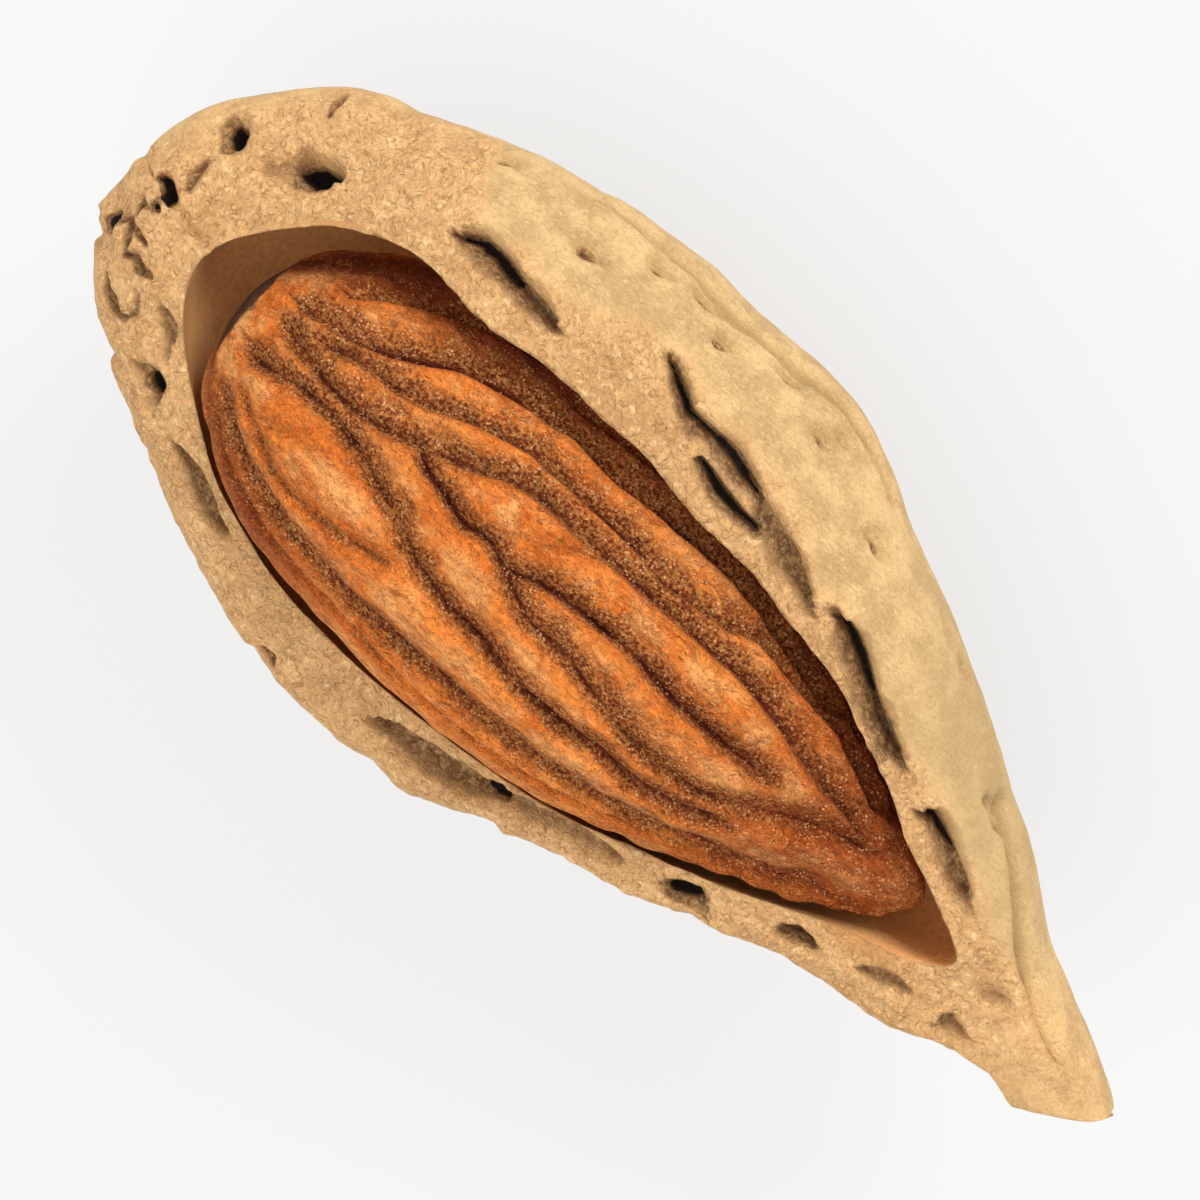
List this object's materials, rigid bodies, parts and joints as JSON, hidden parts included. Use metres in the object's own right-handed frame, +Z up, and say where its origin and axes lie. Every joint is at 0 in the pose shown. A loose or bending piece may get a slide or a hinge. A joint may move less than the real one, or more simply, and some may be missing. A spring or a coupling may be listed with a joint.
{
  "type": "almond in half shell",
  "caption": "Half of a pitted, boat-shaped almond shell, open side up, with the whole brown-skinned kernel lying loose in its hollow.",
  "frame": {"origin": "centre of the bounding box in X and Y, at the flat spot under the shell that the object rests on", "axes": "+X along the nut to its pointed tip, +Y to the thick keel side of the seam, +Z up out of the open side"},
  "size_m": [0.037, 0.016, 0.0121],
  "materials": {
    "shell_wood": "matte, rough and pitted",
    "kernel_skin": "matte, grooved brown seed skin with fine light scurf"
  },
  "bodies": {
    "root": {"shell_half": "shell_wood", "kernel": "kernel_skin"}
  },
  "joints": []
}
